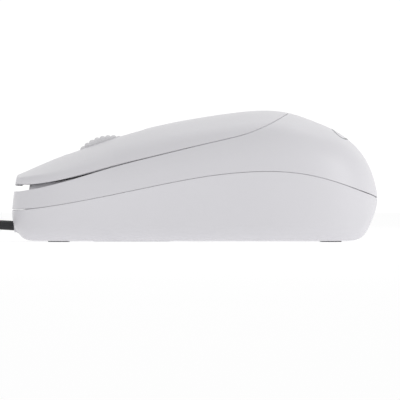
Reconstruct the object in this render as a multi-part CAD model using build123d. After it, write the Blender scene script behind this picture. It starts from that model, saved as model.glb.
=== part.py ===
"""A corded three-button office mouse, 105 mm long, with its cable wound up beyond its nose.

The nose points along -X, the palm end along +X, +Z is up, and the feet stand on z = 0.
The body is a loft through cross-sections. Its parting lines are curves seen from the side,
extruded across the body, which cut the loft into a bottom case, an upper case and a top cover.
"""
from build123d import *
import math
import os
import numpy as np

# ---- driving dimensions, in millimetres -------------------------------------------------------
HALF_LENGTH = 52.5
WALL = 1.8
UNDERSIDE_Z = 0.3
FLOOR_Z = UNDERSIDE_Z + WALL
PARTING_GAP = 0.16

FLEX_X, FLEX_SLIT = -8.0, 0.3
SLIT_HALF_WIDTH = 0.4
SLIT_END_X = -4.0

WHEEL_X, WHEEL_Z = -24.1, 18.7
WHEEL_RADIUS, WHEEL_WIDTH = 12.0, 7.0
TYRE_RIBS, RIB_RADIUS, TYRE_BORE = 44, 0.5, 9.9
AXLE_RADIUS, AXLE_HALF_SPAN = 1.25, 6.4
SLOT_X, SLOT_HALF_WIDTH, SLOT_CORNER = (-36.6, -14.6), 4.3, 1.8

BOARD_Z, BOARD_THICK = 6.6, 1.6
BOARD_TOP = BOARD_Z + BOARD_THICK
BOARD_X, BOARD_HALF_WIDTH, BOARD_CORNER = (-46.0, 18.0), 19.5, 6.0
NOTCH_X, NOTCH_HALF_WIDTH = -41.9, 5.0
WHEEL_HOLE_X, WHEEL_HOLE_HALF_WIDTH = (-31.5, -16.7), 4.6
POSTS = [(-27.0, 17.0), (10.0, 16.0)]
POST_RADIUS, PEG_RADIUS, PEG_HOLE_RADIUS = 2.2, 0.9, 0.95

SWITCH_X, SWITCH_Y, SWITCH_SIZE = -36.0, 13.5, (12.8, 5.8, 6.5)
SWITCH_PIN_X = (-5.1, 0.0, 5.1)
PLUNGER_X, PLUNGER_RADIUS, PLUNGER_PROUD = -33.5, 1.1, 0.9
PRESSER_RADIUS, PRESS_GAP = 1.5, 0.1

YOKE_PIVOT_X, YOKE_PIVOT_Z = -8.5, 13.5
YOKE_Y, PIVOT_RADIUS, BRACKET_Y = (4.4, 5.5), 1.2, (6.0, 7.6)
TACT_X, TACT_Y, TACT_SIDE, TACT_HEIGHT, TACT_TOP = -20.0, -10.0, 6.0, 3.8, 5.0
EYE_X, EYE_Y, EYE_Z = -29.5, 7.2, 12.5

CONNECTOR_X = (-40.4, -38.4, -35.6)

SENSOR_X = 2.0
WINDOW_RADIUS, LENS_RADIUS, LENS_HOLE_RADIUS = 4.0, 3.0, 3.4
LED_RADIUS, LED_Z = 2.4, BOARD_TOP + 3.2
FOOT_X, FOOT_SIZE, FOOT_CORNER = 39.0, (6.0, 26.0, 0.8), 2.9
SCREW_X, SCREW_RADIUS, SCREW_HEAD_RADIUS, SCREW_HEAD_Z = 31.0, 1.2, 2.4, (1.3, 3.0)
LOWER_BOSS_RADIUS, LOWER_BOSS_TOP, UPPER_BOSS_RADIUS = 4.2, 5.0, 3.2
LABEL_X, LABEL_HALF_WIDTH, LABEL_THICK = (-29.0, -7.0), 13.0, 0.12

CABLE_RADIUS = 1.4
CABLE_Z, CABLE_START_X, CABLE_INNER_X = 4.6, -51.5, -46.2
COLLAR_FACE_X, COLLAR_UNDER_X = -52.3, (-51.8, -48.9)
COLLAR_HALF_WIDTH, COLLAR_UNDER_Z = 4.0, 2.7
RELIEF_X, RELIEF_Z, RELIEF_HALF_WIDTH, RELIEF_NECK_RADIUS = (-48.8, -46.4), (2.4, 7.6), 3.4, 2.1
WIRE_RADIUS, WIRE_Y, WIRE_RISE_X = 0.35, (-3.0, -1.0, 1.0, 3.0), -43.3
COIL_X, COIL_Y, COIL_RADII, COIL_TURNS, COIL_LAYERS = -122.0, 7.4, (11.95, 21.4), 13.5, 4
TIE_THICK, TIE_WIDTH = 0.6, 5.0
# The plug's x: start of its sleeve, start of its grip, start of its shell, and its mouth.
PLUG_X, PLUG_Y, PLUG_Z = (-101.5, -95.5, -75.0, -61.5), 30.0, 4.0
GRIP_HALF_WIDTH, GRIP_CORNER, SLEEVE_RADII = 7.6, 1.6, (2.0, 3.2)
SHELL_HALF_WIDTH, SHELL_HALF_HEIGHT, SHELL_THICK = 6.0, 2.25, 0.3
SHELL_WINDOW_X, SHELL_WINDOW_Y, SHELL_WINDOW_HALF = (-7.4, -5.1), 3.0, 1.15
CONTACT_X, CONTACT_Y, CONTACT_HALF_WIDTH = (-8.6, -1.2), (-3.5, -1.0, 1.0, 3.5), 0.5
# The cable's way where it isn't coiled: from the collar to the coil, and from the coil to the plug.
LEAD = [(CABLE_START_X, 0.0, CABLE_Z), (-59.5, 0.0, 5.2), (-70.0, -1.2, 4.2), (-82.0, -5.6, 1.9), (-94.0, -10.8, 1.4),
        (-108.1, -13.8, 1.4), (COIL_X, -14.0, 1.4)]
TAIL = [(COIL_X, 28.8, 9.8), (-115.5, 29.4, 9.3), (-108.3, PLUG_Y, 6.1), (PLUG_X[0], PLUG_Y, PLUG_Z)]

# ---- outlines ---------------------------------------------------------------------------------
# Pairs of (x, value). TOP is the crest of the body, PLAN its half-width at the parting line,
# SEAM the parting line between the two cases, UNDER the lowest line of the body.
TOP = [(-52.5, 18.1), (-47.9, 20.5), (-41.0, 23.5), (-31.0, 27.2), (-20.3, 30.75), (-8.0, 33.9), (4.0, 36.05),
       (14.0, 37.35), (21.0, 37.7), (27.0, 37.0), (34.0, 34.7), (40.0, 32.1), (45.2, 28.4), (48.6, 24.5),
       (50.9, 19.9), (52.1, 15.7), (52.5, 12.3)]
PLAN = [(-52.5, 0.0), (-52.3, 9.0), (-51.6, 15.5), (-50.0, 20.0), (-47.0, 23.7), (-42.0, 26.2), (-34.0, 27.4),
        (-22.0, 27.7), (-8.0, 28.3), (6.0, 29.3), (20.0, 30.0), (31.0, 29.2), (40.0, 26.2), (46.5, 21.0),
        (50.3, 14.2), (52.0, 7.2), (52.5, 0.0)]
SEAM = [(-52.5, 9.3), (-45.0, 9.7), (-37.0, 10.9), (-25.0, 13.15), (-11.0, 16.05), (2.7, 18.6), (12.0, 19.7),
        (21.0, 20.1), (30.0, 19.5), (39.4, 17.4), (46.5, 15.0), (52.5, 12.3)]
UNDER = [(-52.5, 9.3), (-52.2, 6.5), (-51.5, 4.2), (-50.5, 2.6), (-49.0, 1.1), (-47.3, 0.45), (-44.0, 0.2),
         (-20.0, 0.2), (20.0, 0.2), (41.0, 0.2), (45.2, 0.45), (46.9, 0.85), (48.1, 1.6), (49.5, 3.4),
         (50.6, 5.7), (51.5, 8.0), (52.5, 12.3)]
# The top cover's lower edge, and the gap from it down to the upper case.
COVER_EDGE = [(-52.5, 16.2), (-46.0, 16.5), (-39.9, 17.5), (-31.8, 19.5), (-22.6, 22.0), (-8.8, 25.3), (0.4, 27.5),
              (9.6, 29.6), (14.2, 30.8), (18.7, 32.5), (23.3, 34.8), (26.9, 37.0)]
COVER_GAP = [(-52.5, 1.75), (-46.0, 1.35), (-40.0, 1.0), (-34.0, 0.8), (-28.0, 0.6), (-22.0, 0.46), (-16.0, 0.36),
             (-8.0, 0.28), (10.0, 0.22), (26.9, 0.22)]
# Height of the crown above the shoulder, and the length of the blend that rounds the shoulder.
CROWN = [(-52.5, 0.6), (-50.0, 1.3), (-46.0, 2.6), (-41.0, 4.2), (-32.0, 5.6), (-20.0, 6.2), (0.0, 6.0),
         (20.0, 5.6), (36.0, 5.0), (46.0, 4.0), (52.5, 0.5)]
SHOULDER = [(-52.5, 0.8), (-46.0, 1.6), (-38.0, 3.2), (-28.0, 6.5), (-16.0, 10.5), (0.0, 12.5), (20.0, 13.0),
            (40.0, 11.0), (52.5, 6.0)]
NOSE_LEAN = 7.0
SIDE_DRAFT_UP, SIDE_DRAFT_DOWN = 0.055, 0.09
UNDER_CORNER = 4.5
NOSE_STATIONS = [-52.42, -52.2, -51.9, -51.55, -51.25, -51.12, -50.9, -50.2, -49.0]
BODY_STATIONS = [-49.0, -46.5, -43.0, -38.0, -31.0, -22.0, -12.0, 0.0, 12.0, 22.0, 31.0, 38.0, 43.0, 46.5, 49.0,
                 50.8, 51.8, 52.42]
COVER_END_X = COVER_EDGE[-1][0]
FAR = 60.0
# The ledge and the inner lip of the upper case, which close the gap under the keys.
LEDGE_THICK = 1.3
LIP_INSET, LIP_NOSE_INSET, LIP_RISE, LIP_END_X = (2.3, 3.3), (5.0, 6.2), -0.2, -12.0


def station(x):
    """The angle that stands for x, so that outlines close smoothly at both ends of the body."""
    return math.asin(max(-1.0, min(1.0, x / HALF_LENGTH)))


def smooth(points):
    """A natural cubic spline through (x, value) pairs, as a function of x."""
    t = np.array([station(x) for x, _ in points])
    v = np.array([value for _, value in points])
    n, h = len(t), np.diff(t)
    a, b = np.eye(n), np.zeros(n)
    for i in range(1, n - 1):
        a[i, i - 1:i + 2] = h[i - 1], 2 * (h[i - 1] + h[i]), h[i]
        b[i] = 6 * ((v[i + 1] - v[i]) / h[i] - (v[i] - v[i - 1]) / h[i - 1])
    m = np.linalg.solve(a, b)

    def at(x):
        s = station(x)
        i = int(np.clip(np.searchsorted(t, s) - 1, 0, n - 2))
        p, q = t[i + 1] - s, s - t[i]
        bend = m[i] * p ** 3 + m[i + 1] * q ** 3
        line = (v[i] / h[i] - m[i] * h[i] / 6) * p + (v[i + 1] / h[i] - m[i + 1] * h[i] / 6) * q
        return float(bend / (6 * h[i]) + line)
    return at


top, plan, seam, under = smooth(TOP), smooth(PLAN), smooth(SEAM), smooth(UNDER)
cover_edge, cover_gap, crown, shoulder = smooth(COVER_EDGE), smooth(COVER_GAP), smooth(CROWN), smooth(SHOULDER)


def crest(x):
    """The highest line of the body: the top outline, cut off by the leaning nose."""
    return min(top(x), seam(-HALF_LENGTH) + NOSE_LEAN * (x + HALF_LENGTH))


def case_edge(x):
    """The upper case's top edge, below the cover's edge by the gap."""
    return cover_edge(x) - cover_gap(x)


def section(x, inset, place):
    """One cross-section of the body, drawn in all round by inset, as a wire of ten edges."""
    level = seam(x)
    wide = plan(x) * (1 - inset / 30.0)
    high = max(crest(x) - inset, level + 0.35 * (crest(x) - level))
    low = min(under(x) + inset, level - 0.35 * (level - under(x)))
    rise = min(crown(x), 0.5 * (high - level))
    knee_y, knee_z = wide * (1 - SIDE_DRAFT_UP), high - rise
    blend = min(shoulder(x), 0.8 * knee_y, 0.8 * (knee_z - level))
    y2 = knee_y - blend
    z2, slope = high - rise * (y2 / knee_y) ** 2, -2 * rise * y2 / knee_y ** 2
    lean = (wide - knee_y) / (knee_z - level)
    z_meet = (z2 + slope * (wide + lean * level - y2)) / (1 + slope * lean)
    y_meet = wide - lean * (z_meet - level)
    z1 = z_meet - min(blend, 0.9 * (z_meet - level))
    y1 = wide - lean * (z1 - level)
    foot_y = wide * (1 - SIDE_DRAFT_DOWN)
    corner = min(UNDER_CORNER, 0.45 * (level - low), 0.45 * foot_y)
    low_y = foot_y + (wide - foot_y) * corner / (level - low)
    ring = {"flat": (foot_y - corner, low), "knee": (foot_y, low), "low": (low_y, low + corner),
            "seam": (wide, level), "blend": (y1, z1), "meet": (y_meet, z_meet), "crown": (y2, z2)}
    r = {k: Vector(place, y, z) for k, (y, z) in ring.items()}
    s = {k: Vector(place, -y, z) for k, (y, z) in ring.items()}
    peak = Vector(place, 0, z2 - slope * y2)
    return Wire([Line(s["flat"], r["flat"]), Bezier(r["flat"], r["knee"], r["low"]), Line(r["low"], r["seam"]),
                 Line(r["seam"], r["blend"]), Bezier(r["blend"], r["meet"], r["crown"]),
                 Bezier(r["crown"], peak, s["crown"]), Bezier(s["crown"], s["meet"], s["blend"]),
                 Line(s["blend"], s["seam"]), Line(s["seam"], s["low"]), Bezier(s["low"], s["knee"], s["flat"])])


def envelope(inset=0.0, nose_inset=None):
    """The whole body as one solid, drawn in by inset, and by nose_inset at the nose if that differs."""
    nose_inset = inset if nose_inset is None else nose_inset

    def wires(stations):
        return [section(x, inset, x - (inset if x > 0 else nose_inset) * x / HALF_LENGTH) for x in stations]
    return Solid.make_loft(wires(NOSE_STATIONS), True) + Solid.make_loft(wires(BODY_STATIONS))


def under_curve(height, start, end, lift=0.0):
    """Everything below the side-view curve z = height(x) + lift between start and end, across the body."""
    xs = [start + (end - start) * i / 16 for i in range(17)]
    points = [(x, -FAR, height(x) + lift) for x in xs]
    slope = (points[-1][2] - points[-2][2]) / (points[-1][0] - points[-2][0])
    points = [(-FAR, -FAR, points[0][2])] + points + [(FAR, -FAR, points[-1][2] + slope * (FAR - end))]
    edge = Spline(*points)
    sides = Polyline(points[-1], (FAR, -FAR, -9.0), (-FAR, -FAR, -9.0), points[0])
    return Solid.extrude(Face(Wire([edge, *sides.edges()])), Vector(0, 2 * FAR, 0))


def block(x, y, z):
    """A box between pairs of limits."""
    size = (x[1] - x[0], y[1] - y[0], z[1] - z[0])
    return Pos((x[0] + x[1]) / 2, (y[0] + y[1]) / 2, (z[0] + z[1]) / 2) * Box(*size)


def post(x, y, radius, z):
    """An upright cylinder between two heights."""
    return Pos(x, y, (z[0] + z[1]) / 2) * Cylinder(radius, z[1] - z[0])


def cross_rod(x, z, radius, y):
    """A cylinder across the body between two values of y."""
    return Pos(x, (y[0] + y[1]) / 2, z) * Rot(90, 0, 0) * Cylinder(radius, y[1] - y[0])


def long_rod(y, z, radius, x):
    """A cylinder along the body between two values of x."""
    return Pos((x[0] + x[1]) / 2, y, z) * Rot(0, 90, 0) * Cylinder(radius, x[1] - x[0])


def soft_block(x, y, z, radius):
    """A box with its upright edges rounded."""
    solid = block(x, y, z)
    return fillet(solid.edges().filter_by(Axis.Z), radius)


# ---- the shells -------------------------------------------------------------------------------
def shells():
    """Bottom case, upper case and whole top cover, as plain skins cut at the parting lines."""
    outer, inner = envelope(), envelope(WALL)
    skin = outer - inner
    lower = under_curve(seam, -HALF_LENGTH, HALF_LENGTH, -PARTING_GAP / 2)
    above_seam = skin - under_curve(seam, -HALF_LENGTH, HALF_LENGTH, PARTING_GAP / 2)
    case_zone = under_curve(case_edge, -HALF_LENGTH, COVER_END_X)
    ledge_under = under_curve(case_edge, -HALF_LENGTH, COVER_END_X, -LEDGE_THICK)
    front = block((-FAR, LIP_END_X), (-FAR, FAR), (-FAR, FAR))
    lip_outer, lip_inner = envelope(LIP_INSET[0], LIP_NOSE_INSET[0]), envelope(LIP_INSET[1], LIP_NOSE_INSET[1])
    ledge = ((outer - lip_inner) & case_zone & front) - ledge_under
    below_cover = under_curve(cover_edge, -HALF_LENGTH, COVER_END_X)
    lip_zone = under_curve(cover_edge, -HALF_LENGTH, COVER_END_X, LIP_RISE)
    lip = ((lip_outer - lip_inner) & lip_zone & front) - ledge_under
    return skin & lower, (above_seam & case_zone) + ledge + lip, above_seam - below_cover


def collar():
    """The squared nose that the cable leaves through, standing out from the rounded bottom case."""
    top_z = seam(COLLAR_FACE_X) - PARTING_GAP
    front, rear = COLLAR_UNDER_X
    outline = Polyline((COLLAR_FACE_X, 0, top_z), (front, 0, COLLAR_UNDER_Z), (rear, 0, COLLAR_UNDER_Z),
                       (rear, 0, top_z), close=True)
    face, half = Face(Wire(outline.edges())), Vector(0, COLLAR_HALF_WIDTH, 0)
    return Solid.extrude(face, half) + Solid.extrude(face, half * -1)


def bottom_case(skin):
    """The tray: flat underside, board posts, screw boss, foot pockets, lens window and cable hole."""
    tray = skin - block((-FAR, FAR), (-FAR, FAR), (-9, UNDERSIDE_Z))
    tray += collar() + post(SCREW_X, 0, LOWER_BOSS_RADIUS, (UNDERSIDE_Z, LOWER_BOSS_TOP))
    for x, y in board_post_places():
        tray += post(x, y, POST_RADIUS, (UNDERSIDE_Z + 0.5, BOARD_Z))
        tray += post(x, y, PEG_RADIUS, (BOARD_Z - 0.1, BOARD_TOP + 0.6))
    for x in (-FOOT_X, FOOT_X):
        tray -= foot(x, 0.1)
    tray -= post(SENSOR_X, 0, WINDOW_RADIUS, (-1, FLOOR_Z + 1))
    tray -= post(SCREW_X, 0, SCREW_HEAD_RADIUS + 0.3, (-1, SCREW_HEAD_Z[1]))
    tray -= post(SCREW_X, 0, SCREW_RADIUS + 0.15, (-1, LOWER_BOSS_TOP + 1))
    tray -= long_rod(0, CABLE_Z, CABLE_RADIUS + 0.1, (-54, -45))
    tray -= long_rod(0, CABLE_Z, RELIEF_NECK_RADIUS + 0.1, (-51.0, -48))
    pocket_y = (-RELIEF_HALF_WIDTH - 0.1, RELIEF_HALF_WIDTH + 0.1)
    return tray - block((RELIEF_X[0] - 0.1, RELIEF_X[1] + 0.1), pocket_y, (RELIEF_Z[0] - 0.1, 9))


def board_post_places():
    return [(x, y * side) for x, y in POSTS for side in (-1, 1)]


def upper_case(skin, core):
    """The ring and palm shell, with the boss that the case screw bites into."""
    boss = post(SCREW_X, 0, UPPER_BOSS_RADIUS, (LOWER_BOSS_TOP + 0.1, FAR)) & core
    return skin + boss - post(SCREW_X, 0, SCREW_RADIUS + 0.05, (4, 14))


def top_cover(cover):
    """The part of the cover behind the flex line, with the end of the slit between the keys."""
    rear = cover & block((FLEX_X + FLEX_SLIT / 2, FAR), (-FAR, FAR), (0, FAR))
    return rear - block((-20, SLIT_END_X), (-SLIT_HALF_WIDTH, SLIT_HALF_WIDTH), (0, FAR))


def key(cover, core, side):
    """One mouse key: its half of the cover ahead of the flex line, and the post that works its switch."""
    y = sorted((side * SLIT_HALF_WIDTH, side * FAR))
    half = cover & block((-FAR, FLEX_X - FLEX_SLIT / 2), y, (0, FAR))
    slot = soft_block(SLOT_X, (-SLOT_HALF_WIDTH, SLOT_HALF_WIDTH), (0, FAR), SLOT_CORNER)
    presser_z = BOARD_TOP + SWITCH_SIZE[2] + PLUNGER_PROUD + PRESS_GAP
    return half - slot + (post(PLUNGER_X, side * SWITCH_Y, PRESSER_RADIUS, (presser_z, FAR)) & core)


def foot(x, grow=0.0):
    """A glide pad with rounded ends; grow widens it into its pocket."""
    dx, dy, high = FOOT_SIZE
    return soft_block((x - dx / 2 - grow, x + dx / 2 + grow), (-dy / 2 - grow, dy / 2 + grow), (0, high),
                      FOOT_CORNER + grow)


# ---- on the board -----------------------------------------------------------------------------
def board():
    """The circuit board: rounded front corners, a notch for the wires, wheel slot, lens and peg holes."""
    plate = block(BOARD_X, (-BOARD_HALF_WIDTH, BOARD_HALF_WIDTH), (BOARD_Z, BOARD_TOP))
    corners = plate.edges().filter_by(Axis.Z).sort_by(Axis.X)[:2]
    plate = fillet(corners, BOARD_CORNER)
    through = (0, 2 * BOARD_TOP)
    plate -= block((BOARD_X[0] - 1, NOTCH_X), (-NOTCH_HALF_WIDTH, NOTCH_HALF_WIDTH), through)
    plate -= block(WHEEL_HOLE_X, (-WHEEL_HOLE_HALF_WIDTH, WHEEL_HOLE_HALF_WIDTH), through)
    plate -= post(SENSOR_X, 0, LENS_HOLE_RADIUS, through)
    for x, y in board_post_places():
        plate -= post(x, y, PEG_HOLE_RADIUS, through)
    return plate


def switch(side):
    """A micro switch housing with the well that its plunger moves in."""
    dx, dy, dz = SWITCH_SIZE
    y, lid = side * SWITCH_Y, BOARD_TOP + dz
    case = block((SWITCH_X - dx / 2, SWITCH_X + dx / 2), (y - dy / 2, y + dy / 2), (BOARD_TOP, lid))
    case -= block((SWITCH_X - dx, SWITCH_X + dx), (y + side * dy / 2 - 0.3, y + side * dy / 2 + 0.3),
                  (BOARD_TOP + 2.6, BOARD_TOP + 2.9))
    return case - post(PLUNGER_X, y, PLUNGER_RADIUS + 0.1, (lid - 1.4, lid + 1))


def plunger(side):
    lid = BOARD_TOP + SWITCH_SIZE[2]
    return post(PLUNGER_X, side * SWITCH_Y, PLUNGER_RADIUS, (lid - 0.8, lid + PLUNGER_PROUD))


def switch_pins():
    """Three solder tails under each switch."""
    return [block((x - 0.5, x + 0.5), (side * SWITCH_Y - 0.3, side * SWITCH_Y + 0.3), (BOARD_Z - 1.6, BOARD_Z))
            for side in (-1, 1) for x in [SWITCH_X + dx for dx in SWITCH_PIN_X]]


def tact_switch():
    half = TACT_SIDE / 2
    case = block((TACT_X - half, TACT_X + half), (TACT_Y - half, TACT_Y + half), (BOARD_TOP, BOARD_TOP + TACT_HEIGHT))
    return case - post(TACT_X, TACT_Y, 1.8, (BOARD_TOP + 2.6, BOARD_TOP + 5))


def tact_button():
    return post(TACT_X, TACT_Y, 1.65, (BOARD_TOP + 3.1, BOARD_TOP + TACT_TOP))


def light_gate(side):
    """One half of the light gate that counts the wheel's windows: a block with a lens facing the wheel."""
    y = sorted((side * (EYE_Y - 1.1), side * (EYE_Y + 1.1)))
    dome = cross_rod(EYE_X, EYE_Z, 0.9, sorted((side * (EYE_Y - 1.7), side * EYE_Y)))
    return block((EYE_X - 2.2, EYE_X + 2.2), y, (BOARD_TOP, BOARD_TOP + 5.6)) + dome


def sensor_lens():
    """The clear moulding over the window: a plate on the floor and a barrel up through the board."""
    plate = soft_block((SENSOR_X - 9, SENSOR_X + 9), (-6.5, 6.5), (FLOOR_Z, FLOOR_Z + 1.2), 1.5)
    return plate + post(SENSOR_X, 0, LENS_RADIUS, (UNDERSIDE_Z + 0.7, BOARD_TOP - 0.4))


def sensor_chip():
    return block((SENSOR_X - 6, SENSOR_X + 6), (-4.6, 4.6), (BOARD_TOP + 0.4, BOARD_TOP + 4.0))


def chip_legs(x0, pitch, count, y_body, y_row, z_top):
    """Two rows of bent legs, each a flat strip out of the body and an upright one down to the board."""
    legs = []
    for i in range(count):
        x = (x0 + i * pitch - 0.25, x0 + i * pitch + 0.25)
        for side in (-1, 1):
            out = block(x, sorted((side * y_body, side * (y_row + 0.25))), (z_top - 0.25, z_top))
            legs.append(out + block(x, sorted((side * y_row, side * (y_row + 0.25))), (BOARD_TOP, z_top)))
    return legs


def sensor_led():
    """A 5 mm lamp lying along the board, its dome towards the sensor."""
    dome = Pos(SENSOR_X + 9.2, 0, LED_Z) * Sphere(LED_RADIUS)
    return dome + long_rod(0, LED_Z, LED_RADIUS, (SENSOR_X + 9.2, SENSOR_X + 13.5))


def led_holder():
    shell = block((SENSOR_X + 8.4, SENSOR_X + 12.6), (-3.6, 3.6), (BOARD_TOP, BOARD_TOP + 6.6))
    return shell - long_rod(0, LED_Z, LED_RADIUS + 0.1, (SENSOR_X + 8, SENSOR_X + 14))


def controller_chip():
    return block((-8, 4), (10.0, 15.0), (BOARD_TOP + 0.2, BOARD_TOP + 1.9))


def controller_legs():
    legs = chip_legs(-7.2, 1.5, 8, 2.5, 3.3, BOARD_TOP + 1.1)
    return [Pos(0, 12.5, 0) * leg for leg in legs]


def capacitors():
    return [post(x, y, 2.0, (BOARD_TOP, BOARD_TOP + 5.5)) for x, y in ((9.5, -11.0), (-3.0, -12.5))]


def resistors():
    return [block((x - 0.8, x + 0.8), (y - 0.4, y + 0.4), (BOARD_TOP, BOARD_TOP + 0.5))
            for x in (-14.0, -10.5, 8.0) for y in (9.5, 11.5, 13.5)]


def crystal():
    return soft_block((-16.0, -6.0), (-17.5, -14.0), (BOARD_TOP, BOARD_TOP + 3.2), 1.7)


def cable_socket():
    return block(CONNECTOR_X[1:], (-5.4, 5.4), (BOARD_TOP, BOARD_TOP + 4.6))


def cable_connector():
    return block(CONNECTOR_X[:2], (-4.7, 4.7), (BOARD_TOP + 0.4, BOARD_TOP + 4.2))


# ---- the wheel --------------------------------------------------------------------------------
def wheel_hub():
    """The wheel's core: rim, thin web with counting windows, and its own axle."""
    half = WHEEL_WIDTH / 2
    hub = cross_rod(WHEEL_X, WHEEL_Z, TYRE_BORE - 0.05, (-half, half))
    for side in (-1, 1):
        hollow = cross_rod(WHEEL_X, WHEEL_Z, 9.1, sorted((side * 1.1, side * (half + 1))))
        hub -= hollow - cross_rod(WHEEL_X, WHEEL_Z, 3.2, sorted((side * 1.0, side * (half + 2))))
    window = Pos(8.1, 0, 0) * Box(1.6, 8, 1.2)
    for i in range(20):
        hub -= Pos(WHEEL_X, 0, WHEEL_Z) * Rot(0, 18 * i, 0) * window
    return hub + cross_rod(WHEEL_X, WHEEL_Z, AXLE_RADIUS, (-AXLE_HALF_SPAN, AXLE_HALF_SPAN))


def wheel_tyre():
    """The ribbed band: round grooves across the tread leave the ribs between them."""
    ring = Circle(WHEEL_RADIUS) - Circle(TYRE_BORE)
    ring -= PolarLocations(WHEEL_RADIUS + 0.1, TYRE_RIBS) * Circle(RIB_RADIUS)
    band = extrude(ring, WHEEL_WIDTH / 2, both=True)
    return Pos(WHEEL_X, 0, WHEEL_Z) * Rot(90, 0, 0) * band


def wheel_yoke():
    """The rocking fork that carries the wheel: two cheeks, a bridge, pivot pins and the click tab."""
    pivot, axle = (YOKE_PIVOT_X, YOKE_PIVOT_Z), (WHEEL_X, WHEEL_Z)
    yoke = block((pivot[0] - 1.6, pivot[0] + 1.4), (-YOKE_Y[1], YOKE_Y[1]), (pivot[1] - 1.3, pivot[1] + 1.3))
    tilt = math.degrees(math.atan2(axle[1] - pivot[1], pivot[0] - axle[0]))
    span = math.hypot(axle[0] - pivot[0], axle[1] - pivot[1])
    for side in (-1, 1):
        y = sorted((side * YOKE_Y[0], side * YOKE_Y[1]))
        bar = Pos(-span / 2, 0, 0) * Box(span, YOKE_Y[1] - YOKE_Y[0], 5.2)
        cheek = Pos(pivot[0], sum(y) / 2, pivot[1]) * Rot(0, tilt, 0) * bar
        cheek += cross_rod(*pivot, 2.6, y) + cross_rod(*axle, 2.9, y)
        pin = cross_rod(*pivot, PIVOT_RADIUS, sorted((side * YOKE_Y[0], side * BRACKET_Y[1])))
        yoke += (cheek - cross_rod(*axle, AXLE_RADIUS + 0.07, (-9, 9))) + pin
    tab_z = BOARD_TOP + TACT_TOP + PRESS_GAP
    yoke += block((TACT_X - 1.5, TACT_X + 1.5), (TACT_Y - 1.2, -YOKE_Y[0]), (tab_z + 1.1, tab_z + 2.7))
    return yoke + post(TACT_X, TACT_Y, 1.2, (tab_z, tab_z + 1.2))


def wheel_bracket():
    """The board-mounted bracket that the yoke rocks in."""
    x = (YOKE_PIVOT_X - 2.6, YOKE_PIVOT_X + 2.6)
    inside, outside = BRACKET_Y
    bracket = block(x, (-outside, outside), (BOARD_TOP, BOARD_TOP + 1.2))
    for side in (-1, 1):
        bracket += block(x, sorted((side * inside, side * outside)), (BOARD_TOP, YOKE_PIVOT_Z + 2.6))
    return bracket - cross_rod(YOKE_PIVOT_X, YOKE_PIVOT_Z, PIVOT_RADIUS + 0.07, (-9, 9))


# ---- the cable --------------------------------------------------------------------------------
def tube(points, radius, what):
    """A round tube along straight runs joined by the widest arcs that the runs allow."""
    points = [Vector(*p) for p in points]
    runs = [b - a for a, b in zip(points, points[1:])]
    radii = [0.45 * min(a.length, b.length) / math.tan(math.radians(a.get_angle(b) / 2))
             for a, b in zip(runs, runs[1:])]
    path = Wire(FilletPolyline(*points, radius=radii).edges())
    face = Plane(origin=points[0], z_dir=runs[0]) * Circle(radius)
    solid = sweep(face, path)
    print(f"{what}: {path.length:.1f} mm, bends {[round(r, 1) for r in radii]} mm, "
          f"volume / (section x length) {solid.volume / (math.pi * radius ** 2 * path.length):.4f}")
    return solid


def strain_relief():
    neck = long_rod(0, CABLE_Z, RELIEF_NECK_RADIUS, (-50.9, RELIEF_X[0] + 0.1))
    flange = soft_block(RELIEF_X, (-RELIEF_HALF_WIDTH, RELIEF_HALF_WIDTH), RELIEF_Z, 0.8)
    return neck + flange - long_rod(0, CABLE_Z, CABLE_RADIUS + 0.05, (-54, -44))


def cable_wires():
    """Four wires from the end of the sheath, up through the board's notch and into the connector."""
    entry_z = BOARD_TOP + 2.3
    return [tube([(CABLE_INNER_X, y / 4, CABLE_Z), (WIRE_RISE_X, y / 3, CABLE_Z), (WIRE_RISE_X - 0.1, y, entry_z),
                  (CONNECTOR_X[0], y, entry_z)], WIRE_RADIUS, "wire")
            for y in WIRE_Y]


def coil():
    """The outer shape of the wound cable, let in where the tie goes round it."""
    inside, outside = COIL_RADII[0] - CABLE_RADIUS, COIL_RADII[1] + CABLE_RADIUS
    high = 2 * CABLE_RADIUS * COIL_LAYERS
    print(f"cable coil: {COIL_TURNS} turns in {COIL_LAYERS} layers, {COIL_TURNS * math.pi * sum(COIL_RADII):.0f} mm")
    ring = post(COIL_X, COIL_Y, outside, (0, high)) - post(COIL_X, COIL_Y, inside, (-1, high + 1))
    return ring - cable_tie()


def cable_tie():
    """A flat strap round the turns on the far side of the coil."""
    x = (COIL_X - COIL_RADII[1] - CABLE_RADIUS, COIL_X - COIL_RADII[0] + CABLE_RADIUS)
    y = (COIL_Y - TIE_WIDTH / 2, COIL_Y + TIE_WIDTH / 2)
    high = 2 * CABLE_RADIUS * COIL_LAYERS + TIE_THICK
    strap = block((x[0] - TIE_THICK, x[1] + TIE_THICK), y, (0, high + TIE_THICK))
    return strap - block(x, (y[0] - 1, y[1] + 1), (TIE_THICK, high))


def plug_body():
    """The moulded grip of the USB plug, with a tapered sleeve where the cable enters."""
    grip = block(PLUG_X[1:3], (PLUG_Y - GRIP_HALF_WIDTH, PLUG_Y + GRIP_HALF_WIDTH), (0, 2 * PLUG_Z))
    grip = fillet(grip.edges().filter_by(Axis.X), GRIP_CORNER)
    length = PLUG_X[1] - PLUG_X[0] + 0.5
    sleeve = Pos(PLUG_X[0] + length / 2, PLUG_Y, PLUG_Z) * Rot(0, 90, 0) * Cone(*SLEEVE_RADII, length)
    return grip + sleeve


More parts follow.
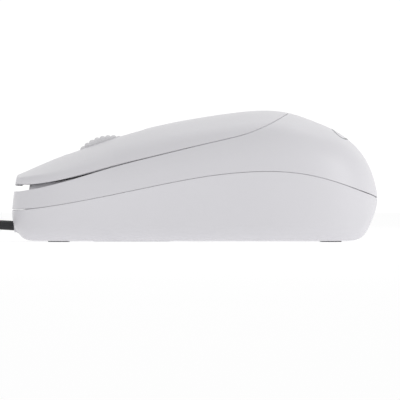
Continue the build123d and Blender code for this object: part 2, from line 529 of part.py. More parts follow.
def plug_shell():
    """The folded metal shell, with its two square windows on each broad side."""
    back, mouth = PLUG_X[2:]
    dy, dz = SHELL_HALF_WIDTH, SHELL_HALF_HEIGHT
    shell = block((back, mouth), (PLUG_Y - dy, PLUG_Y + dy), (PLUG_Z - dz, PLUG_Z + dz))
    dy, dz = dy - SHELL_THICK, dz - SHELL_THICK
    shell -= block((back - 1, mouth + 1), (PLUG_Y - dy, PLUG_Y + dy), (PLUG_Z - dz, PLUG_Z + dz))
    for y in (PLUG_Y - SHELL_WINDOW_Y, PLUG_Y + SHELL_WINDOW_Y):
        shell -= block((mouth + SHELL_WINDOW_X[0], mouth + SHELL_WINDOW_X[1]),
                       (y - SHELL_WINDOW_HALF, y + SHELL_WINDOW_HALF), (0, 3 * PLUG_Z))
    return shell


def plug_tongue():
    return block((PLUG_X[2], PLUG_X[3] - 0.7), (PLUG_Y - 5.6, PLUG_Y + 5.6), (PLUG_Z, PLUG_Z + 1.85))


def plug_contacts():
    x = (PLUG_X[3] + CONTACT_X[0], PLUG_X[3] + CONTACT_X[1])
    return [block(x, (PLUG_Y + y - CONTACT_HALF_WIDTH, PLUG_Y + y + CONTACT_HALF_WIDTH), (PLUG_Z - 0.2, PLUG_Z))
            for y in CONTACT_Y]


# ---- screws and label -------------------------------------------------------------------------
def case_screw():
    """A self-tapping screw with a cross recess in its pan head."""
    low, high = SCREW_HEAD_Z
    screw = post(SCREW_X, 0, SCREW_HEAD_RADIUS, (low, high)) + post(SCREW_X, 0, SCREW_RADIUS, (high - 0.1, 12.0))
    for size in ((2.6, 0.6, 1.6), (0.6, 2.6, 1.6)):
        screw -= Pos(SCREW_X, 0, low) * Box(*size)
    return screw


def rating_label():
    return soft_block(LABEL_X, (-LABEL_HALF_WIDTH, LABEL_HALF_WIDTH), (UNDERSIDE_Z - LABEL_THICK, UNDERSIDE_Z), 2.0)


def parts():
    """Every node's solid, or its list of separate solids, by name."""
    tray, ring, cover = shells()
    core = envelope(WALL / 2)
    yield "bottom_case", bottom_case(tray)
    yield "upper_case", upper_case(ring, core)
    yield "top_cover", top_cover(cover)
    for name, side in (("left", -1), ("right", 1)):
        yield name + "_button", key(cover, core, side)
        yield name + "_switch", switch(side)
        yield name + "_plunger", plunger(side)
    yield "front_foot", foot(-FOOT_X)
    yield "rear_foot", foot(FOOT_X)
    yield "case_screw", case_screw()
    yield "rating_label", rating_label()
    yield "circuit_board", board()
    yield "switch_pins", switch_pins()
    yield "wheel_click_switch", tact_switch()
    yield "wheel_click_button", tact_button()
    yield "wheel_light_source", light_gate(-1)
    yield "wheel_light_reader", light_gate(1)
    yield "wheel_hub", wheel_hub()
    yield "wheel_tyre", wheel_tyre()
    yield "wheel_yoke", wheel_yoke()
    yield "wheel_bracket", wheel_bracket()
    yield "sensor_lens", sensor_lens()
    yield "sensor_chip", sensor_chip()
    yield "sensor_legs", chip_legs(SENSOR_X - 4.5, 3.0, 4, 4.6, 5.6, BOARD_TOP + 2.0)
    yield "sensor_led", sensor_led()
    yield "led_holder", led_holder()
    yield "controller_chip", controller_chip()
    yield "controller_legs", controller_legs()
    yield "capacitors", capacitors()
    yield "resistors", resistors()
    yield "crystal", crystal()
    yield "cable_socket", cable_socket()
    yield "cable_connector", cable_connector()
    yield "cable_wires", cable_wires()
    yield "strain_relief", strain_relief()
    yield "cable_inner", long_rod(0, CABLE_Z, CABLE_RADIUS, (CABLE_START_X, CABLE_INNER_X))
    yield "cable_lead", tube(LEAD, CABLE_RADIUS, "cable lead")
    yield "cable_coil", coil()
    yield "cable_tail", tube(TAIL, CABLE_RADIUS, "cable tail")
    yield "cable_tie", cable_tie()
    yield "plug_body", plug_body()
    yield "plug_shell", plug_shell()
    yield "plug_tongue", plug_tongue()
    yield "plug_contacts", plug_contacts()


def main():
    os.makedirs("parts", exist_ok=True)
    for name, made in parts():
        export_step(Compound(children=made) if isinstance(made, list) else made, f"parts/{name}.step")


if __name__ == "__main__":
    main()
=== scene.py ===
# %% [markdown]
# # A corded office mouse
# The engineering model already says where every piece is. This notebook gives those pieces their looks:
# the moulded shells are rebuilt as dense, evenly shaded skins from the same outlines, the tyre gets
# rounded ribs, the cable becomes one smooth curve, and every surface gets a material made of nodes.

# %% load the frame
import math
import bpy
import numpy as np
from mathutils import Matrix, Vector
from mathutils.geometry import delaunay_2d_cdt


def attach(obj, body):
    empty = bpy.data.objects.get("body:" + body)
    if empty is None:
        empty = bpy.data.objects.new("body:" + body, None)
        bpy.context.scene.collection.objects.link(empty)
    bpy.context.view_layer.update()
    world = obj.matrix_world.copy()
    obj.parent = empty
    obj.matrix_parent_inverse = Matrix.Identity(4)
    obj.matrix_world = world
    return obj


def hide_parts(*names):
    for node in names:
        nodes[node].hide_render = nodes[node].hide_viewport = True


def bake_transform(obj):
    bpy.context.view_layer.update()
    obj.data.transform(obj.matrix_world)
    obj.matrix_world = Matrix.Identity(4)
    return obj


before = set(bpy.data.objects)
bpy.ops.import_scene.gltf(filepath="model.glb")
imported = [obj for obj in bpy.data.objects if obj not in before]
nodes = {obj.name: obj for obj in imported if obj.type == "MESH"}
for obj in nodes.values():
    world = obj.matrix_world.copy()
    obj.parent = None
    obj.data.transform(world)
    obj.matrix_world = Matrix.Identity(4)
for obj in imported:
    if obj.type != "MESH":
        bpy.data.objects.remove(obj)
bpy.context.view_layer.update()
MM = 0.001
print("pieces in the frame:", len(nodes))

# %% [markdown]
# ## The camera
# A long lens far away, level with the middle of the mouse, looking straight at its left side. The whole
# mouse fills the width, and the cable runs out of the picture on the left.

# %% camera
VIEW_WIDTH, VIEW_DISTANCE, SENSOR_WIDTH = 0.1149, 2.5, 36.0
VIEW_CENTRE_X, VIEW_CENTRE_Z = 0.0015, 0.012

camera = bpy.data.objects.new("camera", bpy.data.cameras.new("camera"))
bpy.context.scene.collection.objects.link(camera)
bpy.context.scene.camera = camera
camera.location = (VIEW_CENTRE_X, -VIEW_DISTANCE, VIEW_CENTRE_Z)
camera.rotation_euler = (math.radians(90), 0, 0)
camera.data.sensor_width = SENSOR_WIDTH
camera.data.lens = SENSOR_WIDTH * VIEW_DISTANCE / VIEW_WIDTH
camera.data.clip_start, camera.data.clip_end = 0.01, 20.0
print("lens", round(camera.data.lens), "mm at", VIEW_DISTANCE, "m")

# %% [markdown]
# ## The cable
# One and a half metres of 2.8 mm cable. It leaves the nose level, settles on the desk, and is wound into
# a flat coil of four layers, each a spiral: in, out, in and out again. The last stretch comes off the top
# of the coil and down into the plug. The curve is a NURBS spline, so few points make a smooth line.

# %% cable
CABLE_RADIUS, CABLE_LENGTH = 1.4 * MM, 1.5
LEAD = [(-51.5, 0.0, 4.6), (-59.5, 0.0, 5.2), (-70.0, -1.2, 4.2), (-82.0, -5.6, 1.9), (-94.0, -10.8, 1.4),
        (-108.1, -13.8, 1.4)]
TAIL = [(-115.5, 29.4, 9.3), (-108.3, 30.0, 6.1), (-101.5, 30.0, 4.0)]
COIL_CENTRE, COIL_RADII = (-122.0, 7.4), (11.95, 21.4)
COIL_TURNS, COIL_LAYERS, POINTS_PER_TURN = 13.5, 4, 16
LAYER_RISE = 2.8
TIE_LIFT, TIE_ANGLE, TIE_SPREAD = 0.6, 180.0, 14.0


def smoothstep(low, high, value):
    part = min(1.0, max(0.0, (value - low) / (high - low)))
    return part * part * (3 - 2 * part)


def coil_point(turn):
    """A point of the coil after so many turns: spirals in and out by turns, a layer up each time."""
    per_layer = COIL_TURNS / COIL_LAYERS
    layer, along = divmod(min(turn, COIL_TURNS - 1e-6), per_layer)
    along /= per_layer
    inward = along if layer % 2 == 0 else 1 - along
    radius = COIL_RADII[1] + (COIL_RADII[0] - COIL_RADII[1]) * inward
    radius /= math.cos(math.pi / POINTS_PER_TURN) ** 0.98
    angle = 270.0 - 360.0 * turn
    rise = sum(smoothstep(k * per_layer - 0.18, k * per_layer + 0.18, turn) for k in range(1, COIL_LAYERS))
    off_tie = (angle - TIE_ANGLE + 180.0) % 360.0 - 180.0
    lift = TIE_LIFT * math.exp(-(off_tie / TIE_SPREAD) ** 2)
    return (COIL_CENTRE[0] + radius * math.cos(math.radians(angle)),
            COIL_CENTRE[1] + radius * math.sin(math.radians(angle)),
            CABLE_RADIUS / MM + LAYER_RISE * rise + lift)


def cable_route():
    steps = int(COIL_TURNS * POINTS_PER_TURN)
    turns = [coil_point(i / POINTS_PER_TURN) for i in range(1, steps + 1)]
    return LEAD + turns + TAIL


def make_cable():
    curve = bpy.data.curves.new("cable", "CURVE")
    curve.dimensions = "3D"
    spline = curve.splines.new("NURBS")
    route = cable_route()
    spline.points.add(len(route) - 1)
    for point, place in zip(spline.points, route):
        point.co = (*[v * MM for v in place], 1.0)
        point.radius = CABLE_RADIUS
    spline.order_u = 3
    spline.use_endpoint_u = True
    spline.resolution_u = 8
    curve.bevel_depth = 1.0
    curve.bevel_resolution = 5
    made = bpy.data.objects.new("cable", curve)
    bpy.context.scene.collection.objects.link(made)
    return made


cable = make_cable()
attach(cable, "body")
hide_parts("cable_lead", "cable_coil", "cable_tail")
print("cable points:", len(cable.data.splines[0].points))

# %% [markdown]
# ## The shape of the body
# The body is drawn by a handful of outlines, the same ones as in the engineering model: the crest seen
# from the side, the plan seen from above, the parting lines, and how round the shoulders are. `smooth`
# joins the dots with a cubic spline. A cross-section at any x then follows from them.

# %% outlines
HALF_LENGTH = 52.5
NOSE_X, TAIL_X = -52.46, 52.46
TOP = [(-52.5, 18.1), (-47.9, 20.5), (-41.0, 23.5), (-31.0, 27.2), (-20.3, 30.75), (-8.0, 33.9),
       (4.0, 36.05), (14.0, 37.35), (21.0, 37.7), (27.0, 37.0), (34.0, 34.7), (40.0, 32.1), (45.2, 28.4),
       (48.6, 24.5), (50.9, 19.9), (52.1, 15.7), (52.5, 12.3)]
PLAN = [(-52.5, 0.0), (-52.3, 9.0), (-51.6, 15.5), (-50.0, 20.0), (-47.0, 23.7), (-42.0, 26.2),
        (-34.0, 27.4), (-22.0, 27.7), (-8.0, 28.3), (6.0, 29.3), (20.0, 30.0), (31.0, 29.2), (40.0, 26.2),
        (46.5, 21.0), (50.3, 14.2), (52.0, 7.2), (52.5, 0.0)]
SEAM = [(-52.5, 9.3), (-45.0, 9.7), (-37.0, 10.9), (-25.0, 13.15), (-11.0, 16.05), (2.7, 18.6),
        (12.0, 19.7), (21.0, 20.1), (30.0, 19.5), (39.4, 17.4), (46.5, 15.0), (52.5, 12.3)]
UNDER = [(-52.5, 9.3), (-52.2, 6.5), (-51.5, 4.2), (-50.5, 2.6), (-49.0, 1.1), (-47.3, 0.45), (-44.0, 0.2),
         (-20.0, 0.2), (20.0, 0.2), (41.0, 0.2), (45.2, 0.45), (46.9, 0.85), (48.1, 1.6), (49.5, 3.4),
         (50.6, 5.7), (51.5, 8.0), (52.5, 12.3)]
COVER_EDGE = [(-52.5, 16.2), (-46.0, 16.5), (-39.9, 17.5), (-31.8, 19.5), (-22.6, 22.0), (-8.8, 25.3),
              (0.4, 27.5), (9.6, 29.6), (14.2, 30.8), (18.7, 32.5), (23.3, 34.8), (26.9, 37.0)]
COVER_GAP = [(-52.5, 1.75), (-46.0, 1.35), (-40.0, 1.0), (-34.0, 0.8), (-28.0, 0.6), (-22.0, 0.46),
             (-16.0, 0.36), (-8.0, 0.28), (10.0, 0.22), (26.9, 0.22)]
CROWN = [(-52.5, 0.6), (-50.0, 1.3), (-46.0, 2.6), (-41.0, 4.2), (-32.0, 5.6), (-20.0, 6.2), (0.0, 6.0),
         (20.0, 5.6), (36.0, 5.0), (46.0, 4.0), (52.5, 0.5)]
SHOULDER = [(-52.5, 0.8), (-46.0, 1.6), (-38.0, 3.2), (-28.0, 6.5), (-16.0, 10.5), (0.0, 12.5), (20.0, 13.0),
            (40.0, 11.0), (52.5, 6.0)]
NOSE_LEAN, NOSE_ROUNDING = 7.0, 1.6
SIDE_DRAFT_UP, SIDE_DRAFT_DOWN = 0.055, 0.09
UNDER_CORNER, UNDERSIDE_Z = 4.5, 0.3
SHRINK = 0.9985


def smooth(points):
    """A natural cubic spline through (x, value) pairs, as a function of an array of x."""
    t = np.arcsin(np.array([x for x, _ in points]) / HALF_LENGTH)
    v = np.array([value for _, value in points])
    n, h = len(t), np.diff(t)
    a, b = np.eye(n), np.zeros(n)
    for i in range(1, n - 1):
        a[i, i - 1:i + 2] = h[i - 1], 2 * (h[i - 1] + h[i]), h[i]
        b[i] = 6 * ((v[i + 1] - v[i]) / h[i] - (v[i] - v[i - 1]) / h[i - 1])
    m = np.linalg.solve(a, b)

    def at(x):
        s = np.arcsin(np.clip(np.asarray(x, float) / HALF_LENGTH, -1, 1))
        i = np.clip(np.searchsorted(t, s) - 1, 0, n - 2)
        p, q, w = t[i + 1] - s, s - t[i], h[i]
        bend = (m[i] * p ** 3 + m[i + 1] * q ** 3) / (6 * w)
        return bend + (v[i] / w - m[i] * w / 6) * p + (v[i + 1] / w - m[i + 1] * w / 6) * q
    return at


def soft_min(a, b, width):
    """The smaller of two values, with the corner between them rounded over width."""
    mixed = np.maximum(width - np.abs(a - b), 0) / width
    return np.minimum(a, b) - mixed ** 2 * width / 4


top, plan, seam, under = smooth(TOP), smooth(PLAN), smooth(SEAM), smooth(UNDER)
cover_edge, cover_gap, crown, shoulder = smooth(COVER_EDGE), smooth(COVER_GAP), smooth(CROWN), smooth(SHOULDER)


def crest(x):
    return soft_min(top(x), SEAM[0][1] + NOSE_LEAN * (x + HALF_LENGTH), NOSE_ROUNDING)


def floor_line(x):
    return -soft_min(-under(x), np.full_like(np.asarray(x, float), -UNDERSIDE_Z), 0.2)


def case_edge(x):
    return cover_edge(x) - cover_gap(x)


# %% [markdown]
# ## Half cross-sections
# `upper_ring` runs from the crest down to the parting line, `lower_ring` from the middle of the underside
# out and up to it. Both are runs of straight lines and quadratic curves, sampled closely.

# %% cross-sections
def bend(a, b, c, count):
    """Points of the quadratic curve from a to c that is pulled towards b."""
    u = np.linspace(0, 1, count)[:, None]
    return (1 - u) ** 2 * np.array(a) + 2 * u * (1 - u) * np.array(b) + u ** 2 * np.array(c)


def upper_ring(x):
    level, wide, high = float(seam(x)), float(plan(x)), float(crest(x))
    rise = min(float(crown(x)), 0.5 * (high - level))
    knee_y, knee_z = wide * (1 - SIDE_DRAFT_UP), high - rise
    blend = min(float(shoulder(x)), 0.8 * knee_y, 0.8 * (knee_z - level))
    y2 = knee_y - blend
    z2, slope = high - rise * (y2 / knee_y) ** 2, -2 * rise * y2 / knee_y ** 2
    lean = (wide - knee_y) / (knee_z - level)
    z_meet = (z2 + slope * (wide + lean * level - y2)) / (1 + slope * lean)
    meet = (wide - lean * (z_meet - level), z_meet)
    z1 = z_meet - min(blend, 0.9 * (z_meet - level))
    side = (wide - lean * (z1 - level), z1)
    return np.vstack([bend((0, high), (y2 / 2, high), (y2, z2), 24)[:-1],
                      bend((y2, z2), meet, side, 24)[:-1],
                      np.linspace(side, (wide, level), 12)])


def lower_ring(x):
    level, wide, low = float(seam(x)), float(plan(x)), float(floor_line(x))
    foot_y = wide * (1 - SIDE_DRAFT_DOWN)
    corner = min(UNDER_CORNER, 0.45 * (level - low), 0.45 * foot_y)
    side = (foot_y + (wide - foot_y) * corner / (level - low), low + corner)
    flat = (foot_y - corner, low)
    return np.vstack([np.linspace((0, low), flat, 12)[:-1], bend(flat, (foot_y, low), side, 24)[:-1],
                      np.linspace(side, (wide, level), 12)])


# %% [markdown]
# ## Unrolling a surface
# `Surface` turns the body's outside into a flat map. On the map, t is the distance along the centre line
# and s the distance out from it, negative on the left side, so shapes drawn there in millimetres keep
# nearly their size on the body. `Panel` is the same thing for a flat face.

# %% surface maps
class Surface:
    """The outside of the body, addressed by t along its centre line and s out from it."""
    ACROSS = 240

    def __init__(self, ring, line, facing):
        body = HALF_LENGTH * np.sin(np.linspace(-1, 1, 700) * math.pi / 2)[1:-1]
        nose, tail = np.linspace(NOSE_X, -50.6, 420), np.linspace(51.6, TAIL_X, 80)
        self.x = np.unique(np.concatenate([body, nose, tail]))
        height = line(self.x)
        self.t = np.concatenate([[0], np.cumsum(np.hypot(np.diff(self.x), np.diff(height)))])
        self.facing = facing
        self.length = np.empty(len(self.x))
        self.table = np.empty((len(self.x), self.ACROSS, 2))
        for i, x in enumerate(self.x):
            points = ring(x)
            far = np.concatenate([[0], np.cumsum(np.hypot(*np.diff(points, axis=0).T))])
            even = np.linspace(0, far[-1], self.ACROSS)
            self.length[i] = far[-1]
            self.table[i] = np.stack([np.interp(even, far, points[:, k]) for k in (0, 1)], 1)

    def place(self, q):
        """Points of the body, in millimetres, for map points q."""
        t, s = q[:, 0], np.abs(q[:, 1])
        i = np.clip(np.searchsorted(self.t, t) - 1, 0, len(self.t) - 2)
        w = (t - self.t[i]) / (self.t[i + 1] - self.t[i])
        across = s / (self.length[i] * (1 - w) + self.length[i + 1] * w) * (self.ACROSS - 1)
        j = np.clip(np.floor(across).astype(int), 0, self.ACROSS - 2)
        f, w = (across - j)[:, None], w[:, None]
        first = self.table[i, j] * (1 - f) + self.table[i, j + 1] * f
        second = self.table[i + 1, j] * (1 - f) + self.table[i + 1, j + 1] * f
        yz = first * (1 - w) + second * w
        x = self.x[i] * (1 - w[:, 0]) + self.x[i + 1] * w[:, 0]
        side = np.where(q[:, 1] < 0, -1, 1)
        return np.stack([x * SHRINK, yz[:, 0] * side * SHRINK, yz[:, 1]], 1)

    def normal(self, q, step=0.12):
        along, out = np.array([step, 0]), np.array([0, step])
        n = np.cross(self.place(q + along) - self.place(q - along), self.place(q + out) - self.place(q - out))
        return unit(n * self.facing)

    def t_at(self, x):
        return float(np.interp(x, self.x, self.t))

    def level_line(self, level, start, end, side):
        """Map points, from x = start to x = end, where the body is at the height level(x)."""
        found = []
        for i in np.flatnonzero((self.x >= start) & (self.x <= end)):
            z, want = self.table[i, :, 1], float(level(self.x[i]))
            if min(z[0], z[-1]) - 1e-9 <= want <= max(z[0], z[-1]) + 1e-9:
                order = np.argsort(z)
                s = np.interp(want, z[order], np.linspace(0, self.length[i], self.ACROSS)[order])
                found.append((self.t[i], side * s))
        return np.array(found)

    def loop(self, level, start=NOSE_X, end=TAIL_X):
        """The closed line all round the body at the height level(x)."""
        right = self.level_line(level, start, end, 1)
        right[0, 1], right[-1, 1] = 0, 0
        return np.vstack([right, right[-2:0:-1] * [1, -1]])


class Panel:
    """A flat face: t runs along one direction and s along another, from a corner."""
    facing = 1

    def __init__(self, corner, along, out):
        self.corner, self.along, self.out = (np.array(v, float) for v in (corner, along, out))

    def place(self, q):
        return self.corner + q[:, :1] * self.along + q[:, 1:] * self.out

    def normal(self, q):
        return np.tile(unit(np.cross(self.along, self.out)[None]), (len(q), 1))


def unit(v):
    return v / np.maximum(np.linalg.norm(v, axis=-1, keepdims=True), 1e-9)


upper = Surface(upper_ring, crest, 1)
lower = Surface(lower_ring, floor_line, -1)
print("lengths along the centre line, mm:", round(upper.t[-1], 1), round(lower.t[-1], 1))

# %% [markdown]
# ## Skins
# A skin is a patch of the map between an outline and any holes in it. Its inside is filled with small
# triangles. Round each edge it rolls over in a quarter circle, runs down by the wall's depth and comes
# back as an inner layer, so the piece is a real shell with soft edges and a true thickness. The normals
# are worked out from the surface itself, which keeps the reflections smooth.

# %% skins
ROLL_STEPS = 3


def spaced(points, step, closed=True):
    """The line through points, with its corners kept soft, as points an even step apart."""
    line = np.vstack([points, points[:1]]) if closed else np.array(points)
    far = np.concatenate([[0], np.cumsum(np.hypot(*np.diff(line, axis=0).T))])
    count = max(6, int(round(far[-1] / step)))
    at = np.linspace(0, far[-1], count + 1)[:-1 if closed else None]
    return np.stack([np.interp(at, far, line[:, k]) for k in (0, 1)], 1)


def rounded_box(centre, half, radius, count=7):
    """A closed rectangle on the map with rounded corners."""
    points = []
    for k, (a, b) in enumerate(((1, 1), (-1, 1), (-1, -1), (1, -1))):
        for angle in np.radians(np.linspace(0, 90, count) + 90 * k):
            points.append((centre[0] + a * (half[0] - radius) + radius * math.cos(angle),
                           centre[1] + b * (half[1] - radius) + radius * math.sin(angle)))
    return np.array(points)


def circle(centre, radius, count=40):
    turn = np.linspace(0, 2 * math.pi, count, endpoint=False)
    return np.array(centre) + radius * np.stack([np.cos(turn), np.sin(turn)], 1)


def area(points):
    x, y = points.T
    return 0.5 * float(np.sum(x * np.roll(y, -1) - y * np.roll(x, -1)))


def inside(q, loops):
    """Which map points lie within the loops, counting crossings."""
    hit = np.zeros(len(q), bool)
    for loop in loops:
        ends = np.roll(loop, -1, axis=0)
        for (x0, y0), (x1, y1) in zip(loop, ends):
            if y0 != y1:
                crosses = (q[:, 1] > min(y0, y1)) & (q[:, 1] <= max(y0, y1))
                hit ^= crosses & (q[:, 0] < x0 + (q[:, 1] - y0) / (y1 - y0) * (x1 - x0))
    return hit


def filled(loops, grid):
    """Triangles that fill the loops, and their points: the loops' own first, then a fine grid."""
    border = np.vstack(loops)
    grid = grid[inside(grid, loops)]
    gap = np.full(len(grid), 9.0)
    for part in np.array_split(border, max(1, len(border) // 60)):
        gap = np.minimum(gap, np.sqrt(((grid[:, None] - part[None]) ** 2).sum(2)).min(1))
    points = np.vstack([border, grid[gap > 0.24]])
    links, start = [], 0
    for loop in loops:
        count = len(loop)
        links += [(start + k, start + (k + 1) % count) for k in range(count)]
        start += count
    made = delaunay_2d_cdt([tuple(p) for p in points], links, [], 0, 1e-6)
    corners = np.array([(v.x, v.y) for v in made[0]])
    origin = np.array([o[0] for o in made[3]])
    faces = np.array([f for f in made[2] if len(f) == 3])
    middle = corners[faces].mean(1)
    return points, origin[faces[inside(middle, loops)]]


FINE_STEP, COARSE_STEP, GRID_START = 0.36, 0.75, 0.3


def map_grid(loop, fine=()):
    """Staggered points over the loop's box, closer together in the fine stretches of t."""
    low, high = loop.min(0), loop.max(0)
    rows, t, odd = [], low[0] + GRID_START, False
    while t < high[0]:
        step = FINE_STEP if any(a < t < b for a, b in fine) else COARSE_STEP
        s = np.arange(low[1] + (step / 2 if odd else 0), high[1], step)
        rows.append(np.stack([np.full(len(s), t), s], 1))
        t, odd = t + step, not odd
    return np.vstack(rows)


def make_mesh(name, points, faces, normals, body="body"):
    """A smooth mesh in metres with its normals given, riding on a body."""
    mesh = bpy.data.meshes.new(name)
    mesh.from_pydata((np.asarray(points) * MM).tolist(), [], [tuple(int(i) for i in f) for f in faces])
    mesh.validate()
    mesh.polygons.foreach_set("use_smooth", [True] * len(mesh.polygons))
    if normals is not None:
        mesh.normals_split_custom_set_from_vertices(unit(np.asarray(normals)).tolist())
    made = bpy.data.objects.new(name, mesh)
    bpy.context.scene.collection.objects.link(made)
    if body:
        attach(made, body)
    print(name, len(points), "points,", len(faces), "faces")
    return made


def skin(surface, loops, roll, depth, grid, lift=0.0, centre_line=False):
    """Points, faces and normals of a shell over the loops. The first loop is the outline. Where
    centre_line is set, edges that lie on s = 0 stay open, for the other half to meet them."""
    loops = [p if (area(p) > 0) == (k == 0) else p[::-1] for k, p in enumerate(loops)]
    inner, edges, outward = [], [], []
    for loop in loops:
        before, after = np.roll(loop, 1, axis=0), np.roll(loop, -1, axis=0)
        along = unit(after - before)
        inward = np.stack([-along[:, 1], along[:, 0]], 1)
        flat = np.abs(loop[:, 1]) < 1e-6
        joined = flat & np.roll(flat, 1) & np.roll(flat, -1) if centre_line else np.zeros(len(loop), bool)
        ends = flat & ~joined & (np.roll(joined, 1) | np.roll(joined, -1)) if centre_line else joined
        inward[ends] = unit(inward[ends] * [1, 0])
        inward[joined] = 0
        inner.append(loop + inward * roll)
        outward.append(-inward)
        edges.append(~joined)
    points, faces = filled(inner, grid)
    count = sum(len(p) for p in inner)
    ring, out = points[:count], np.vstack(outward)
    base, up = surface.place(points), surface.normal(points)
    base = base + up * lift
    if surface.facing < 0:
        faces = faces[:, ::-1]
    step = 0.05
    tangent = surface.place(ring + out * step) - surface.place(ring - out * step)
    n0 = up[:count]
    tangent = unit(tangent - n0 * (tangent * n0).sum(1)[:, None]) * np.linalg.norm(out, axis=1)[:, None]
    core = base[:count] - n0 * roll
    layers = [(base, up)]
    for k in range(1, ROLL_STEPS + 1):
        angle = math.pi / 2 * k / ROLL_STEPS
        n = n0 * math.cos(angle) + tangent * math.sin(angle)
        layers.append((core + n * roll, n))
    deep = depth(base[:count]) if callable(depth) else np.full(count, depth)
    upright = np.clip((np.abs(n0[:, 2:]) - 0.4) / 0.4, 0, 1)
    inwards = unit(n0 * np.hstack([np.ones((count, 2)), upright]))
    bottom = core + tangent * roll - inwards * np.maximum(deep - roll, 0.02)[:, None]
    layers.append((bottom, tangent))
    layers.append((bottom, -n0))
    wall = WALL if callable(depth) else depth
    layers.append((base - up * wall, -up))
    all_points = np.vstack([p for p, _ in layers])
    all_normals = np.vstack([n for _, n in layers])
    sizes = np.cumsum([0] + [len(p) for p, _ in layers])
    quads, start = [], 0
    flip = surface.facing < 0
    for loop, edge in zip(inner, edges):
        n = len(loop)
        for k in range(n):
            a, b = start + k, start + (k + 1) % n
            if edge[k] or edge[(k + 1) % n]:
                for m in range(len(layers) - 1):
                    if m != len(layers) - 3:
                        quad = (sizes[m] + a, sizes[m + 1] + a, sizes[m + 1] + b, sizes[m] + b)
                        quads.append(quad[::-1] if flip else quad)
        start += n
    last = sizes[len(layers) - 1]
    shell = [tuple(f) for f in faces] + quads + [tuple(f[::-1] + last) for f in faces]
    return all_points, shell, all_normals


# %% [markdown]
# ## The shells
# The bottom case is cut at the parting line and opened for the feet, the lens window and the screw. The
# upper case is everything between the parting line and the opening under the keys.

# %% case shells
SEAM_GAP, CASE_ROLL, COVER_ROLL, WALL = 0.09, 0.07, 0.28, 1.6
EDGE_STEP = 0.45
NOSE_TOP = upper.t_at(-51.3)
NOSE_FINE = [(NOSE_TOP - 2.6, NOSE_TOP + 3.0)]
FOOT_X, FOOT_HALF, FOOT_CORNER = 39.0, (3.1, 13.1), 3.0
SENSOR_X, WINDOW_RADIUS = 2.0, 4.0
SCREW_X, SCREW_HOLE = 31.0, 2.7
LEDGE_SIDE, LEDGE_NOSE = 3.0, 5.6


def parting(side):
    return lambda x: seam(x) + side * SEAM_GAP / 2


def lower_spot(x):
    return (lower.t_at(x), 0.0)


underside = lower.loop(parting(-1))
openings = [rounded_box(lower_spot(x), FOOT_HALF, FOOT_CORNER) for x in (-FOOT_X, FOOT_X)]
openings += [circle(lower_spot(SENSOR_X), WINDOW_RADIUS), circle(lower_spot(SCREW_X), SCREW_HOLE, 28)]
outline = spaced(underside, EDGE_STEP)
tray = make_mesh("bottom_shell", *skin(lower, [outline, *openings], CASE_ROLL, WALL, map_grid(outline)))
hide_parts("bottom_case")


def wall_or_ledge(p):
    """The wall's thickness, or the ledge's where the edge is the one under the keys."""
    nose = np.clip((-49.5 - p[:, 0]) / 2.3, 0, 1)
    ledge = LEDGE_SIDE + (LEDGE_NOSE - LEDGE_SIDE) * nose
    ledge = np.where(p[:, 0] > -12.0, WALL, ledge)
    return np.where(np.abs(p[:, 2] - case_edge(p[:, 0])) < 0.9, ledge, WALL)


COVER_END_X = COVER_EDGE[-1][0]
outline = spaced(upper.loop(parting(1)), EDGE_STEP)
opening = spaced(upper.loop(case_edge, NOSE_X, COVER_END_X), EDGE_STEP)
ring = make_mesh("upper_shell", *skin(upper, [outline, opening], CASE_ROLL, wall_or_ledge,
                                      map_grid(outline, NOSE_FINE)))
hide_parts("upper_case")

# %% [markdown]
# ## The keys
# Each key is one sheet with its half of the cover behind it; along the centre line, where the two halves
# meet, its edges are left open. The slot for the wheel and the slit between the keys are part of its
# outline.

# %% key halves
SLIT_HALF, SLIT_END_X = 0.4, -4.0
SLOT_X, SLOT_HALF, SLOT_CORNER = (-36.6, -14.6), 4.3, 1.8


def arc(centre, radius, start, end, count=8):
    turn = np.radians(np.linspace(start, end, count))
    return np.array(centre) + radius * np.stack([np.cos(turn), np.sin(turn)], 1)


def key_outline():
    """The right half of the cover on the map: edge, centre line, slit, slot, slit."""
    edge = upper.level_line(cover_edge, NOSE_X, COVER_END_X, 1)
    edge = edge[edge[:, 1] > SLIT_HALF]
    tip = (upper.t_at(COVER_END_X), 0.0)
    slit_end = upper.t_at(SLIT_END_X)
    front, rear = upper.t_at(SLOT_X[0]), upper.t_at(SLOT_X[1])
    out = SLOT_HALF - SLOT_CORNER
    slot = np.vstack([[(rear, SLIT_HALF)], arc((rear - SLOT_CORNER, out), SLOT_CORNER, 0, 90),
                      arc((front + SLOT_CORNER, out), SLOT_CORNER, 90, 180), [(front, SLIT_HALF)]])
    nose = [(edge[0, 0] + 0.5, SLIT_HALF), (edge[0, 0] + 0.12, SLIT_HALF + 0.12)]
    return np.vstack([edge, [tip], [(slit_end, 0.0)],
                      arc((slit_end - SLIT_HALF, 0), SLIT_HALF, 20, 90, 5), slot, nose])


half_outline = key_outline()
open_run = half_outline[:, 1] == 0
first = int(np.argmax(open_run))
curved = spaced(np.vstack([half_outline[first + 1:], half_outline[:first + 1]]), 0.3, closed=False)
straight = spaced(half_outline[first:first + 2], EDGE_STEP, closed=False)
half_outline = np.vstack([curved, straight[1:-1]])
for name, side in (("right", 1), ("left", -1)):
    loop = half_outline * [1, side]
    grid = map_grid(half_outline, NOSE_FINE) * [1, side]
    cover = skin(upper, [loop], COVER_ROLL, WALL, grid, centre_line=True)
    half = make_mesh(name + "_half", *cover, body=None)
    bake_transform(half)
    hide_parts(name + "_button", "top_cover")

# %% [markdown]
# ## Lip, collar and mark
# The lip is the inner wall that closes the gap under the keys. The collar is the squared nose that the
# cable comes out of. The mark on the palm is a plain printed ring that says nothing.

